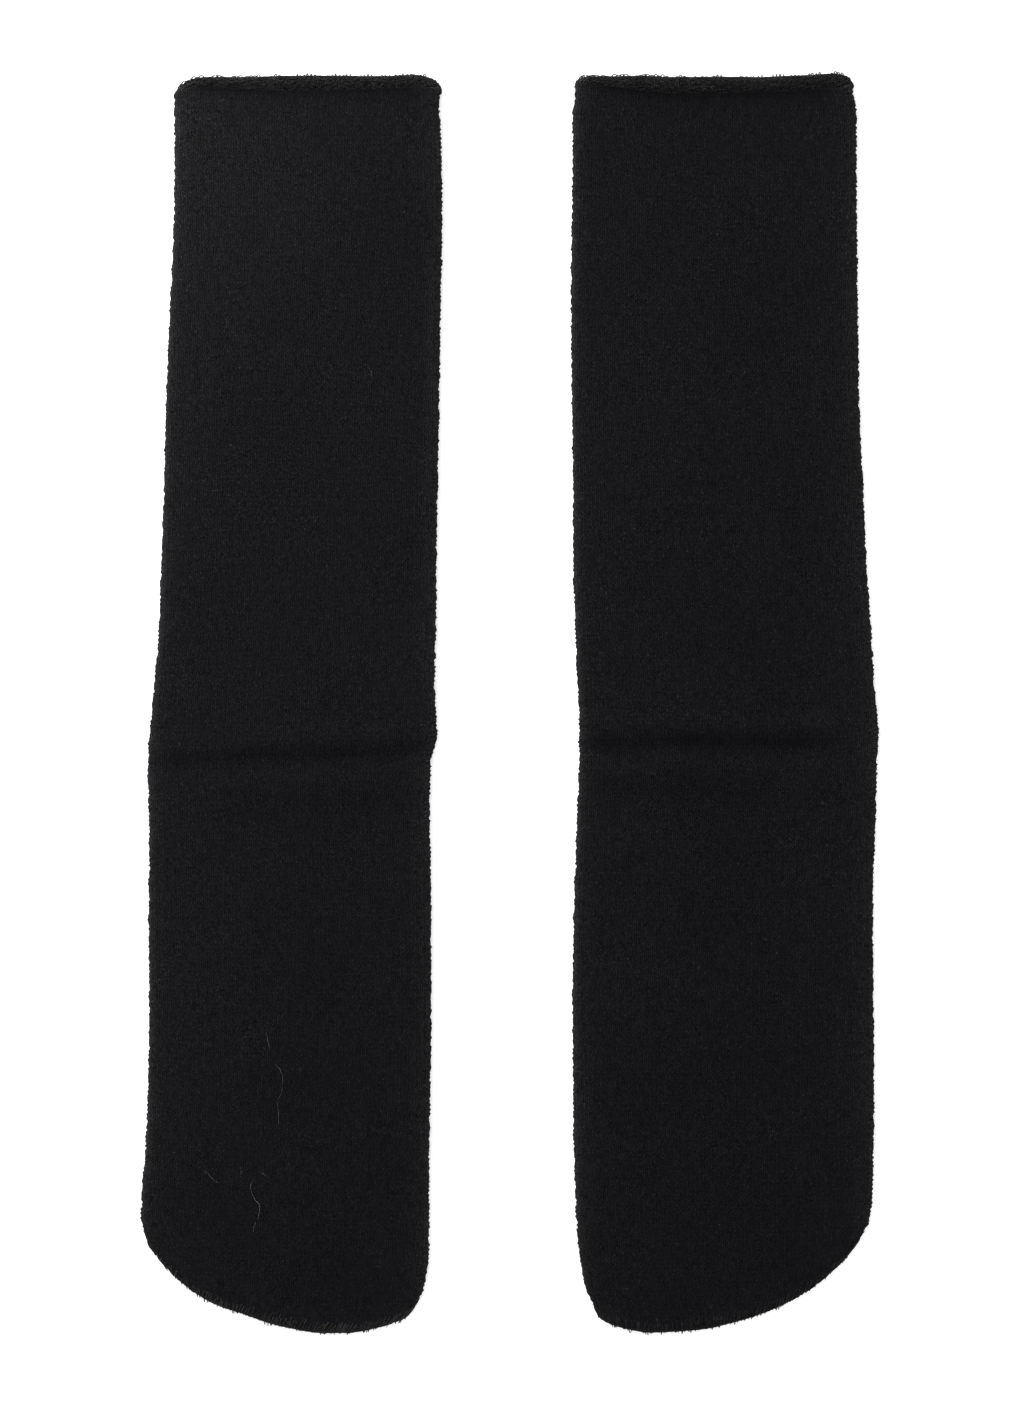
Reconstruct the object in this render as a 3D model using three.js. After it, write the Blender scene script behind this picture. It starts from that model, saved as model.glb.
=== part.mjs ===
// A pair of plain black knitted tube socks that lie flat, side by side, with their toes towards -Y.
// Each sock is one seamless knitted tube with no heel and no separate toes: two layers of cloth that
// lie on each other, joined by the two side folds, open at the mouth and closed by one slanted seam.
// Millimetres, +Z up. The pair rests on z = 0, and the origin is under the middle of its box.
import * as THREE from 'three';

// Driving dimensions of the cloth
const WALL = 1.3; // thickness of one layer of the knitted cloth
const SLIT = 2.0; // space between the two layers beside the folds, where the cloth bends round
const THICK = 2 * WALL + SLIT; // a whole sock, lying flat
const PANEL_SAG = 0.7; // the middle of the upper layer lies this much lower than the side folds
const FOLD_SHARE = 0.09; // share of the width over which the upper layer comes down from a fold
const LIP_DIP = 0.5; // the upper layer's edge at the mouth curls this much towards the lower layer
const LIP_LENGTH = 9; // how far down that curl reaches
const MOUTH_LENGTH = 26; // below this the sections of the tube run straight across
const SLANT_START = 300; // from here on the sections turn towards the slanted toe seam
const SLANT_GROWTH = 1.5; // the sections bend into the seam's curve late, as this power of the way
const CAVITY_END = 4; // the hollow inside stops this far before the toe seam
const CREASE_FADE = 0.1; // a crease fades in and out over this share of the width
const SHOULDER_PLACE = 2.4; // a crease's shoulders lie this many half widths from its middle
const RELIEF_END = 12; // the sag and the creases fade out over this last length before the seam

// How the closed end rounds off: heights of the underside and of the upper side before the toe seam
const TOE_END = [
  { before: 0, low: 1.1, high: 2.2 },
  { before: 0.4, low: 0.5, high: 2.9 },
  { before: 1.2, low: 0.1, high: 3.5 },
  { before: 2.4, low: 0, high: 3.8 },
  { before: 4, low: 0, high: 3.75 },
  { before: 6, low: 0, high: 4.15 },
  { before: 9, low: 0, high: 4.5 },
  { before: 16, low: 0, high: THICK },
];

// The sections along the tube, from the mouth's upper line (0) down to the toe seam
const STRETCHES = [
  { to: 3, steps: 1 },
  { to: 9, steps: 2 },
  { to: MOUTH_LENGTH, steps: 2 },
  { to: 190, steps: 7 },
  { to: 201, steps: 3 },
  { to: 217, steps: 10 },
  { to: 232, steps: 4 },
  { to: SLANT_START, steps: 4 },
  { to: 355, steps: 4 },
];

// Points round one section, counted over half of it: the upper layer and a quarter turn at each fold
const PANEL_STEPS = 10;
const FOLD_STEPS = 3;
const GATHER_AT_FOLDS = 0.07; // how much closer the points of a layer stand beside the folds

// Each sock has its own table of sizes, measured from the middle of its mouth (x) and down from the
// highest point of the mouth's edge (down). The side folds run from the mouth to the ends of the toe
// seam. Across the mouth, front and back say how far down the edge of the upper and of the lower
// layer lies, at a share of the width. A crease runs from fold to fold as a soft trough, present
// between two shares of the width, and shoulder is the height of the low ridges beside it.
const SOCKS = [
  {
    name: 'sock_right_foot',
    x: -62.9,
    y: 194.7,
    leftFold: [
      { down: 0, x: -41.4 },
      { down: 7, x: -41.1 },
      { down: 40, x: -40.9 },
      { down: 76, x: -42.4 },
      { down: 125, x: -44.0 },
      { down: 175, x: -46.2 },
      { down: 204, x: -48.8 },
      { down: 213, x: -49.4 },
      { down: 237, x: -48.9 },
      { down: 286, x: -48.6 },
      { down: 324, x: -49.6 },
      { down: 347, x: -51.3 },
      { down: 354, x: -51.3 },
      { down: 362.8, x: -49.3 },
    ],
    rightFold: [
      { down: 0, x: 41.6 },
      { down: 6, x: 41.0 },
      { down: 40, x: 42.0 },
      { down: 76, x: 41.4 },
      { down: 125, x: 40.4 },
      { down: 175, x: 39.6 },
      { down: 205, x: 40.2 },
      { down: 213, x: 38.5 },
      { down: 237, x: 38.1 },
      { down: 286, x: 38.6 },
      { down: 347, x: 38.1 },
      { down: 364, x: 38.0 },
      { down: 375.7, x: 36.4 },
      { down: 381, x: 34.2 },
      { down: 385.4, x: 31.1 },
    ],
    toeSeam: [
      { x: -49.3, down: 362.8 },
      { x: -44.6, down: 368.3 },
      { x: -37.0, down: 375.7 },
      { x: -32.1, down: 379.3 },
      { x: -23.2, down: 383.3 },
      { x: -8.0, down: 387.8 },
      { x: 5.9, down: 390.0 },
      { x: 20.4, down: 388.8 },
      { x: 31.1, down: 385.4 },
    ],
    mouth: [
      { across: 0, front: 6.2, back: 6.2 },
      { across: 0.03, front: 4.6, back: 3.4 },
      { across: 0.08, front: 4.2, back: 1.1 },
      { across: 0.14, front: 4.1, back: 0.4 },
      { across: 0.35, front: 5.4, back: 0.2 },
      { across: 0.72, front: 4.9, back: 0.1 },
      { across: 0.92, front: 4.0, back: 0 },
      { across: 0.97, front: 3.8, back: 0.9 },
      { across: 1, front: 3.6, back: 3.6 },
    ],
    creases: [
      { leftDown: 212.0, rightDown: 207.8, depth: 0.85, halfWidth: 2.6, from: 0, to: 1, shoulder: 0.3 },
      { leftDown: 228.0, rightDown: 223.5, depth: 0.3, halfWidth: 4.0, from: 0.25, to: 0.95, shoulder: 0 },
    ],
  },
  {
    name: 'sock_left_foot',
    x: 63.5,
    y: 195.3,
    leftFold: [
      { down: 0, x: -43.2 },
      { down: 6, x: -43.5 },
      { down: 39, x: -43.7 },
      { down: 76, x: -44.3 },
      { down: 126, x: -43.8 },
      { down: 151, x: -43.7 },
      { down: 175, x: -42.9 },
      { down: 204, x: -41.8 },
      { down: 213, x: -41.9 },
      { down: 237, x: -42.8 },
      { down: 275, x: -44.3 },
      { down: 318, x: -43.8 },
      { down: 356, x: -42.8 },
      { down: 374.4, x: -40.5 },
      { down: 381.5, x: -37.6 },
      { down: 385.9, x: -35.6 },
    ],
    rightFold: [
      { down: 0, x: 42.6 },
      { down: 11, x: 43.8 },
      { down: 39, x: 44.1 },
      { down: 76, x: 44.2 },
      { down: 101, x: 44.8 },
      { down: 126, x: 45.9 },
      { down: 151, x: 47.0 },
      { down: 175, x: 48.8 },
      { down: 207, x: 50.9 },
      { down: 213, x: 50.4 },
      { down: 237, x: 49.6 },
      { down: 256, x: 49.1 },
      { down: 318, x: 49.4 },
      { down: 346, x: 49.1 },
      { down: 356, x: 47.8 },
      { down: 362.4, x: 44.5 },
    ],
    toeSeam: [
      { x: -35.6, down: 385.9 },
      { x: -26.7, down: 389.3 },
      { x: -20.0, down: 390.3 },
      { x: -4.5, down: 389.3 },
      { x: 3.9, down: 387.5 },
      { x: 16.2, down: 383.6 },
      { x: 27.6, down: 378.2 },
      { x: 37.1, down: 370.8 },
      { x: 44.5, down: 362.4 },
    ],
    mouth: [
      { across: 0, front: 3.7, back: 3.7 },
      { across: 0.03, front: 2.1, back: 1.4 },
      { across: 0.1, front: 4.2, back: 0.9 },
      { across: 0.21, front: 5.6, back: 0.6 },
      { across: 0.4, front: 7.0, back: 0.9 },
      { across: 0.66, front: 6.4, back: 1.0 },
      { across: 0.87, front: 5.0, back: 0.4 },
      { across: 0.93, front: 4.2, back: 0 },
      { across: 0.975, front: 3.4, back: 1.2 },
      { across: 1, front: 4.3, back: 4.3 },
    ],
    creases: [
      { leftDown: 206.8, rightDown: 206.4, depth: 0.95, halfWidth: 2.4, from: 0, to: 0.95, shoulder: 0.2 },
      { leftDown: 221.0, rightDown: 224.0, depth: 0.25, halfWidth: 4.5, from: 0.05, to: 0.6, shoulder: 0 },
    ],
  },
];

// A smooth value of one column at a place in a table, by a cubic between the two rows around it,
// whose slopes are those between the rows before and after, and flat where the values turn.
function readTable(rows, by, column, at) {
  if (at <= rows[0][by]) return rows[0][column];
  const last = rows.length - 1;
  if (at >= rows[last][by]) return rows[last][column];
  let i = 0;
  while (rows[i + 1][by] < at) i += 1;
  const rise = (k) => (rows[k + 1][column] - rows[k][column]) / (rows[k + 1][by] - rows[k][by]);
  const slope = (k) => {
    if (k === 0) return rise(0);
    if (k === last) return rise(last - 1);
    const before = rise(k - 1);
    const after = rise(k);
    return before * after <= 0 ? 0 : (2 * before * after) / (before + after);
  };
  const span = rows[i + 1][by] - rows[i][by];
  const t = (at - rows[i][by]) / span;
  const t2 = t * t;
  const t3 = t2 * t;
  return rows[i][column] * (2 * t3 - 3 * t2 + 1) + rows[i + 1][column] * (3 * t2 - 2 * t3)
    + span * (slope(i) * (t3 - 2 * t2 + t) + slope(i + 1) * (t3 - t2));
}

// 0 before start, 1 after end, and a smooth step between them
function step(start, end, at) {
  const t = THREE.MathUtils.clamp((at - start) / (end - start), 0, 1);
  return t * t * (3 - 2 * t);
}

// The toe seam's height down the sock at a share of the way across it
function toeSeamDown(sock, share) {
  const first = sock.toeSeam[0];
  const last = sock.toeSeam[sock.toeSeam.length - 1];
  return readTable(sock.toeSeam, 'x', 'down', THREE.MathUtils.lerp(first.x, last.x, share));
}

// The place in plan of a point at a share of the way across the section at down. The section is a
// straight line from fold to fold, which bends into the mouth's edge at one end of the tube and into
// the curve of the toe seam at the other. upper is 1 on the upper layer and 0 on the lower one.
function planPoint(sock, down, share, upper) {
  const toeMiddle = toeSeamDown(sock, 0.5);
  const turned = Math.max(0, (down - SLANT_START) / (toeMiddle - SLANT_START));
  const foldDown = (fold) => {
    const seamEnd = fold[fold.length - 1].down;
    return down < SLANT_START ? down : SLANT_START + turned * (seamEnd - SLANT_START);
  };
  const edge = THREE.MathUtils.lerp(
    readTable(sock.mouth, 'across', 'back', share),
    readTable(sock.mouth, 'across', 'front', share),
    upper,
  );
  const mouthShift = edge * Math.max(0, 1 - down / MOUTH_LENGTH);
  const leftDown = foldDown(sock.leftFold) + mouthShift;
  const rightDown = foldDown(sock.rightFold) + mouthShift;
  const seamEnds = THREE.MathUtils.lerp(toeSeamDown(sock, 0), toeSeamDown(sock, 1), share);
  const toeBow = (toeSeamDown(sock, share) - seamEnds) * turned ** SLANT_GROWTH;
  return {
    x: THREE.MathUtils.lerp(
      readTable(sock.leftFold, 'down', 'x', leftDown),
      readTable(sock.rightFold, 'down', 'x', rightDown),
      share,
    ),
    down: THREE.MathUtils.lerp(leftDown, rightDown, share) + toeBow,
  };
}

// How much the upper layer lies above or below its plain height: the sag between the folds, the lip
// at the mouth, and the creases, each a soft trough with a low shoulder on both sides.
function relief(sock, down, share) {
  const inside = step(0, FOLD_SHARE, share) * step(0, FOLD_SHARE, 1 - share);
  let height = -PANEL_SAG * inside - LIP_DIP * inside * (1 - step(0, LIP_LENGTH, down));
  for (const crease of sock.creases) {
    const middle = THREE.MathUtils.lerp(crease.leftDown, crease.rightDown, share);
    const off = (down - middle) / crease.halfWidth;
    const present = step(crease.from - CREASE_FADE, crease.from + CREASE_FADE, share)
      * step(1 - crease.to - CREASE_FADE, 1 - crease.to + CREASE_FADE, 1 - share);
    const trough = -crease.depth * Math.exp(-off * off);
    const shoulders = crease.shoulder * Math.exp(-((Math.abs(off) - SHOULDER_PLACE) ** 2));
    height += present * (trough + shoulders);
  }
  return height;
}

// One closed ring of points round the section at down: from the left fold over the upper layer to the
// right fold, and back along the lower layer. inset is 0 on the outside and WALL round the hollow.
function ring(sock, down, inset) {
  const before = toeSeamDown(sock, 0.5) - down;
  const low = readTable(TOE_END, 'before', 'low', before) + inset;
  const high = readTable(TOE_END, 'before', 'high', before) - inset;
  const leftX = planPoint(sock, down, 0, 1).x;
  const width = planPoint(sock, down, 1, 1).x - leftX;
  const radius = (high - low) / 2;
  const flat = width - 2 * inset - 2 * radius;
  const closing = step(1, RELIEF_END, before);
  const half = PANEL_STEPS + 2 * FOLD_STEPS;
  const points = [];
  for (let i = 0; i < 2 * half; i += 1) {
    const upperSide = i <= half;
    const k = upperSide ? i : 2 * half - i;
    const side = upperSide ? 1 : -1;
    let across; // from the left fold, in millimetres
    let height; // -1 on the underside, 1 on the upper side
    if (k < FOLD_STEPS) {
      const angle = (Math.PI / 2) * (k / FOLD_STEPS);
      across = inset + radius * (1 - Math.cos(angle));
      height = side * Math.sin(angle);
    } else if (k <= FOLD_STEPS + PANEL_STEPS) {
      const t = (k - FOLD_STEPS) / PANEL_STEPS;
      const closerAtFolds = t - GATHER_AT_FOLDS * Math.sin(2 * Math.PI * t);
      across = inset + radius + flat * closerAtFolds;
      height = side;
    } else {
      const angle = (Math.PI / 2) * ((half - k) / FOLD_STEPS);
      across = width - inset - radius * (1 - Math.cos(angle));
      height = side * Math.sin(angle);
    }
    const share = across / width;
    const upper = (height + 1) / 2;
    const plan = planPoint(sock, down, share, upper);
    const lift = upper * closing * relief(sock, down, share);
    points.push(new THREE.Vector3(
      plan.x,
      -plan.down,
      THREE.MathUtils.lerp(low, high, upper) + lift,
    ));
  }
  return points;
}

// The places of the sections along a sock, down to a distance before its toe seam
function sectionPlaces(sock, stopBefore) {
  const toeMiddle = toeSeamDown(sock, 0.5);
  const places = [0];
  for (const stretch of STRETCHES) {
    const start = places[places.length - 1];
    for (let k = 1; k <= stretch.steps; k += 1) {
      places.push(THREE.MathUtils.lerp(start, stretch.to, k / stretch.steps));
    }
  }
  for (const row of TOE_END.toReversed()) places.push(toeMiddle - row.before);
  const end = toeMiddle - stopBefore;
  return [...places.filter((place) => place < end - 0.01), end];
}

// One sock as a closed solid: the outer skin, the skin round the hollow turned inwards, a narrow rim
// that joins them at the mouth, and the two ends closed towards the toe.
function sockGeometry(sock) {
  const outer = sectionPlaces(sock, 0).map((down) => ring(sock, down, 0));
  const inner = sectionPlaces(sock, CAVITY_END).map((down) => ring(sock, down, WALL));
  const round = outer[0].length;
  const positions = [];
  for (const section of [...outer, ...inner]) {
    for (const point of section) positions.push(point.x, point.y, point.z);
  }
  const index = [];
  const face = (corners, facesOut) => {
    const around = [...new Set(corners)];
    if (facesOut) around.reverse();
    for (let k = 1; k < around.length - 1; k += 1) index.push(around[0], around[k], around[k + 1]);
  };
  const skin = (firstRing, rings, facesOut) => {
    for (let r = 0; r < rings - 1; r += 1) {
      const start = (firstRing + r) * round;
      for (let i = 0; i < round; i += 1) {
        const next = (i + 1) % round;
        face([start + i, start + next, start + next + round, start + i + round], facesOut);
      }
    }
    const last = (firstRing + rings - 1) * round;
    for (let i = 0; i < round / 2; i += 1) {
      const across = [i, i + 1, round - i - 1, (round - i) % round];
      face(across.map((k) => last + k), facesOut);
    }
  };
  const hollow = outer.length * round;
  skin(0, outer.length, true);
  skin(outer.length, inner.length, false);
  for (let i = 0; i < round; i += 1) {
    const next = (i + 1) % round;
    face([i, hollow + i, hollow + next, next], true);
  }
  const geometry = new THREE.BufferGeometry();
  geometry.setAttribute('position', new THREE.Float32BufferAttribute(positions, 3));
  geometry.setIndex(index);
  geometry.computeVertexNormals();
  return geometry;
}

function blackKnit() {
  return new THREE.MeshStandardMaterial({ name: 'black_knit', color: '#19191b', roughness: 0.95, metalness: 0 });
}

const pair = new THREE.Group();
for (const sock of SOCKS) {
  const mesh = new THREE.Mesh(sockGeometry(sock), blackKnit());
  mesh.name = sock.name;
  mesh.position.set(sock.x, sock.y, 0);
  pair.add(mesh);
}
const middle = new THREE.Box3().setFromObject(pair).getCenter(new THREE.Vector3());
pair.position.set(-middle.x, -middle.y, 0);

export default pair;
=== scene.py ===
# %% [markdown]
# # A pair of black knitted tube socks, laid flat
# Two socks lie side by side on a pale table, toes towards us. Each is one knitted tube: an upper and a
# lower layer of cloth that pass into each other at two soft side folds, an open mouth, and a slanted
# seam that closes the toe. This file dresses the fixed frame, piece by piece, and leaves it in place.

import bpy
import numpy as np
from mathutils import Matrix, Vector


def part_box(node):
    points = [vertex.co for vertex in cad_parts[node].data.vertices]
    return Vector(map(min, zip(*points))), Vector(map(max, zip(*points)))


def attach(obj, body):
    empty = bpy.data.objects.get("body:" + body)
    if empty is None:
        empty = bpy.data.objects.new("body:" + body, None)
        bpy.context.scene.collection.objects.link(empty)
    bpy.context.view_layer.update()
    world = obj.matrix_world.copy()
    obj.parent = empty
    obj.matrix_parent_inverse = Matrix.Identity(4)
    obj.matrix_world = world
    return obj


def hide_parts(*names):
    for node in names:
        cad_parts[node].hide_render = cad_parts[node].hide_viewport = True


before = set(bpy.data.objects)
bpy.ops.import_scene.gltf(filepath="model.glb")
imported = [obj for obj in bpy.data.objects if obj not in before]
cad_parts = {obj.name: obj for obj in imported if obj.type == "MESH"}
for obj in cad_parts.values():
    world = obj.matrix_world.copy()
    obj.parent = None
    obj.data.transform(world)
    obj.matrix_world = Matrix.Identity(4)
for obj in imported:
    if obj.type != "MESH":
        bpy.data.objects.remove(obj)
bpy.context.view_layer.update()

MM = 0.001  # all sizes below are in millimetres, and meshes are made in metres

# %% [markdown]
# ## The sizes of a sock
# A flat sock is told by a few short tables: where its two side folds run, where the toe seam runs, how
# far down the edges of the two layers lie at the mouth, and where it was creased in its packet. Each
# table has named columns and is read with a smooth curve, so that a dozen rows make a whole outline.

# %% Tables with named columns
def table(columns, *rows):
    """Rows of sizes as named columns: a dict with one array for each column."""
    return dict(zip(columns.split(), np.array(rows, float).T))


def read(rows, by, column, at):
    """A smooth value of one column. Between two rows it is a cubic in the share t of the way: the two
    values weighted with 2t^3 - 3t^2 + 1 and 3t^2 - 2t^3, plus the two slopes weighted with
    t^3 - 2t^2 + t and t^3 - t^2. A slope is the harmonic mean of the rises on both sides, and flat
    where the values turn, so the curve never overshoots."""
    x, y = rows[by], rows[column]
    rise = np.diff(y) / np.diff(x)
    slope = np.zeros(len(x))
    slope[0], slope[-1] = rise[0], rise[-1]
    before, after = rise[:-1], rise[1:]
    turns = before * after <= 0
    slope[1:-1] = np.where(turns, 0, 2 * before * after / np.where(turns, 1, before + after))
    at = np.clip(at, x[0], x[-1])
    i = np.clip(np.searchsorted(x, at, side="right") - 1, 0, len(x) - 2)
    span = x[i + 1] - x[i]
    t = (at - x[i]) / span
    values = y[i] * (2 * t**3 - 3 * t**2 + 1) + y[i + 1] * (3 * t**2 - 2 * t**3)
    slopes = slope[i] * (t**3 - 2 * t**2 + t) + slope[i + 1] * (t**3 - t**2)
    return values + span * slopes


def step(start, end, at):
    """0 before start, 1 after end, and 3t^2 - 2t^3 of the way t between them."""
    t = np.clip((at - start) / (end - start), 0, 1)
    return t * t * (3 - 2 * t)


def mix(a, b, share):
    return a + (b - a) * share


# %% The cloth's own sizes
WALL = 1.3  # one layer of the cloth
SLIT = 2.0  # space between the layers beside the folds
THICK = 2 * WALL + SLIT  # a whole sock
PANEL_SAG = 0.35  # the upper layer's middle lies this much below its folds
FOLD_SHARE = 0.09  # share of the width over which it comes down from a fold
LIP_DIP, LIP_LENGTH = 0.35, 7.0  # the upper layer's edge curls down into the mouth
CURL_UP, CURL_LENGTH = 0.7, 6.0  # the lower layer's edge curls up behind it
CORNER_UP = 1.3  # and more beside the folds, where it meets the upper one
UNDER_CREASE = 0.35  # the lower layer is pressed up by this share of a crease's depth
MOUTH_LENGTH = 26.0  # below this the courses run straight across
SLANT_START = 300.0  # from here on the rings turn towards the toe seam
SLANT_GROWTH = 1.5  # they bend late, as this power of the way to the seam
TOE_END = table(
    "before low high",
    (0, 1.25, 2.0), (0.3, 0.7, 2.75), (0.8, 0.3, 3.35), (1.6, 0.05, 3.75), (2.6, 0, 3.85),
    (3.8, 0, 3.6), (5.2, 0, 3.75), (9, 0, 4.4), (16, 0, THICK),
)

# %% The two socks' tables
RIGHT_FOOT = dict(
    node="sock_right_foot",
    reach_left=51.3,  # its middle line lies this far inside the frame's box
    brushed=0.39,  # painted light: how much lighter the colour is near the mouth's left corner, the side the lamp is on
    toe_nap=1.0,  # how much lighter the toe seam's edge is: fuzz that stands up there, and painted sheen on it
    fold_nap=(0.34, 0.13),  # and the painted sheen in a wide band beside the left and the right fold
    left_fold=table(
        "down x",
        (0, -41.4), (7, -41.1), (24, -41.0), (40, -41.1), (76, -42.6), (106, -43.8), (125, -44.2),
        (147, -44.9), (175, -46.1), (204, -48.7), (213, -49.3), (237, -48.9), (262, -49.0),
        (286, -48.8), (324, -49.5), (334, -50.0), (347, -51.2), (354, -51.3), (362.3, -49.3),
    ),
    right_fold=table(
        "down x",
        (0, 41.9), (4.5, 41.9), (7, 41.35), (9.7, 41.1), (16.7, 41.6), (40, 42.1), (76, 41.5),
        (106, 41.1), (147, 40.3), (168, 40.2), (188, 39.8), (205, 40.4), (213, 38.6), (229, 38.2),
        (250, 38.6), (286, 38.7), (347, 38.0), (364, 38.0), (375.7, 36.4), (380.3, 34.5),
        (383.4, 32.4),
    ),
    toe_seam=table(
        "x down",
        (-49.3, 362.3), (-45.0, 367.9), (-40.4, 372.9), (-33.0, 378.6), (-27.4, 381.5),
        (-20.0, 384.0), (-8.0, 387.9), (5.9, 390.0), (12.5, 389.95), (20.4, 388.7),
        (28.2, 386.3), (30.8, 384.9), (32.4, 383.4),
    ),
    front_edge=table(
        "across down",
        (0, 6.4), (0.03, 4.7), (0.07, 4.0), (0.12, 3.8), (0.24, 4.1), (0.35, 4.65), (0.5, 4.75),
        (0.72, 4.45), (0.82, 3.95), (0.92, 3.9), (0.97, 4.2), (1, 4.5),
    ),
    back_edge=table(
        "across down",
        (0, 6.4), (0.004, 5.5), (0.01, 4.6), (0.02, 3.7), (0.045, 2.1), (0.075, 1.0), (0.115, 0.45),
        (0.19, 0.26), (0.26, 0.32), (0.34, 0.1), (0.43, -0.1), (0.6, -0.15), (0.72, 0), (0.78, 0),
        (0.87, -0.25), (0.92, -0.1), (0.94, 0.35), (0.961, 1.0), (0.98, 1.95), (0.994, 3.3), (1, 4.5),
    ),
    creases=[
        dict(left=212.8, right=208.5, depth=0.46, half_width=2.8, start=0, end=1, shoulder=0.15),
        dict(left=228.0, right=223.5, depth=0.16, half_width=5.0, start=0.25, end=0.95, shoulder=0),
    ],
)
LEFT_FOOT = dict(
    node="sock_left_foot",
    reach_left=44.3,
    # As for the right foot: no painted light at the mouth's corner, and painted sheen at the toe and beside
    # the folds.
    brushed=0.0,
    toe_nap=0.45,
    fold_nap=(0.2, 0.3),
    left_fold=table(
        "down x",
        (0, -43.2), (4, -43.2), (9, -43.5), (14, -44.1), (24, -44.0), (44, -44.2), (65, -44.5),
        (85, -44.4), (106, -44.2), (126, -43.9), (151, -43.8), (175, -43.1), (204, -42.0),
        (213, -42.0), (229, -42.6), (250, -43.3), (270, -43.8), (291, -44.0), (318, -43.8),
        (356, -42.8), (374.4, -40.5), (381.5, -37.8), (383.8, -36.8),
    ),
    right_fold=table(
        "down x",
        (0, 42.9), (3.6, 43.3), (5.2, 42.9), (7.3, 43.3), (9.6, 43.8), (14, 44.1), (44, 44.2),
        (65, 44.4), (85, 44.7), (106, 45.1), (126, 46.0), (151, 47.1), (175, 48.8), (188, 49.5),
        (207, 50.9), (213, 50.5), (229, 50.1), (256, 49.2), (318, 49.5), (346, 49.1), (356, 47.8),
        (361.9, 44.5),
    ),
    toe_seam=table(
        "x down",
        (-36.8, 383.8), (-35.4, 385.9), (-32.6, 387.6), (-26.7, 389.4), (-20.0, 390.4),
        (-4.5, 389.5), (3.9, 387.8), (16.2, 384.0), (27.6, 378.3), (37.1, 370.7),
        (40.8, 366.8), (44.5, 361.9),
    ),
    front_edge=table(
        "across down",
        (0, 3.4), (0.03, 2.6), (0.08, 3.7), (0.12, 4.0), (0.21, 4.9), (0.27, 5.6), (0.34, 6.1),
        (0.45, 6.2), (0.66, 5.85), (0.75, 5.5), (0.87, 4.8), (0.93, 4.6), (0.97, 4.4), (1, 3.8),
    ),
    back_edge=table(
        "across down",
        (0, 3.4), (0.007, 2.1), (0.02, 1.25), (0.03, 1.0), (0.09, 0.85), (0.15, 0.65), (0.24, 0.48),
        (0.35, 0.85), (0.42, 0.85), (0.52, 0.74), (0.65, 0.92), (0.75, 0.57), (0.84, 0.3),
        (0.945, 0), (0.966, 0.3), (0.982, 0.9), (0.994, 2.0), (1, 3.8),
    ),
    creases=[
        dict(left=207.3, right=207.1, depth=0.62, half_width=2.7, start=0, end=0.86, shoulder=0.12),
        dict(left=221.0, right=224.0, depth=0.25, half_width=4.5, start=0.05, end=0.6, shoulder=0),
    ],
)
SOCKS = [RIGHT_FOOT, LEFT_FOOT]
for sock in SOCKS:
    low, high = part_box(sock["node"])
    sock["place_x"] = low.x / MM + sock["reach_left"]
    sock["place_y"] = high.y / MM
    print(sock["node"], "stands at", round(sock["place_x"], 1), round(sock["place_y"], 1))

# %% [markdown]
# ## The form: a flattened tube
# A point of a sock has two coordinates: how far down the tube it lies, and its wale, the column of
# stitches that it belongs to, counted round the tube from the left fold. We could squash a cylinder,
# but a tube worked out ring by ring keeps the cloth's thickness and lets every stitch stay countable.

# %% The knit's gauge
WALES_HALF = 76  # columns of stitches from the left fold over the upper layer to the right fold
WALES_ROUND = 2 * WALES_HALF
FOLD_WALES = 3  # this many columns on both sides of a fold's middle lie on its bend
COURSE = 1.4  # one row of stitches along the tube
CREASE_FADE = 0.1  # a crease fades in and out over this share of the width
SHOULDER_PLACE = 2.4  # its shoulders lie this many half widths from its middle


def from_fold(wale):
    """How many columns of stitches lie between a wale and the middle of the nearest fold."""
    return np.minimum(wale % WALES_HALF, WALES_HALF - wale % WALES_HALF)


def toe_down(sock, share):
    """How far down the toe seam lies at a share of the width."""
    seam = sock["toe_seam"]
    return read(seam, "x", "down", mix(seam["x"][0], seam["x"][-1], share))


def plan(sock, down, share, upper):
    """The place in plan (x, down) at a share of the way across the ring at down. A ring is a straight
    line from fold to fold. Near the mouth it bends into the edge of its layer, and near the toe into
    the curve of the seam; upper is 1 on the upper layer and 0 on the lower one."""
    turned = np.maximum(0, (down - SLANT_START) / (toe_down(sock, 0.5) - SLANT_START))
    edge = mix(
        read(sock["back_edge"], "across", "down", share),
        read(sock["front_edge"], "across", "down", share),
        upper,
    )
    shift = edge * np.clip(1 - down / MOUTH_LENGTH, 0, 1)
    folds = []
    for fold in (sock["left_fold"], sock["right_fold"]):
        along = np.where(turned > 0, SLANT_START + turned * (fold["down"][-1] - SLANT_START), down)
        folds.append((read(fold, "down", "x", along + shift), along + shift))
    (left_x, left_down), (right_x, right_down) = folds
    bow = toe_down(sock, share) - mix(toe_down(sock, 0), toe_down(sock, 1), share)
    return (
        mix(left_x, right_x, share),
        mix(left_down, right_down, share) + bow * turned**SLANT_GROWTH,
    )


def wander(a, b, *waves):
    """A gentle unevenness: a sum of sine waves, each with its height, its length along a and along b
    (0 for none) and a turn."""
    return sum(
        high * np.sin(2 * np.pi * ((a / la if la else 0) + (b / lb if lb else 0)) + turn)
        for high, la, lb, turn in waves
    )


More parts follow.
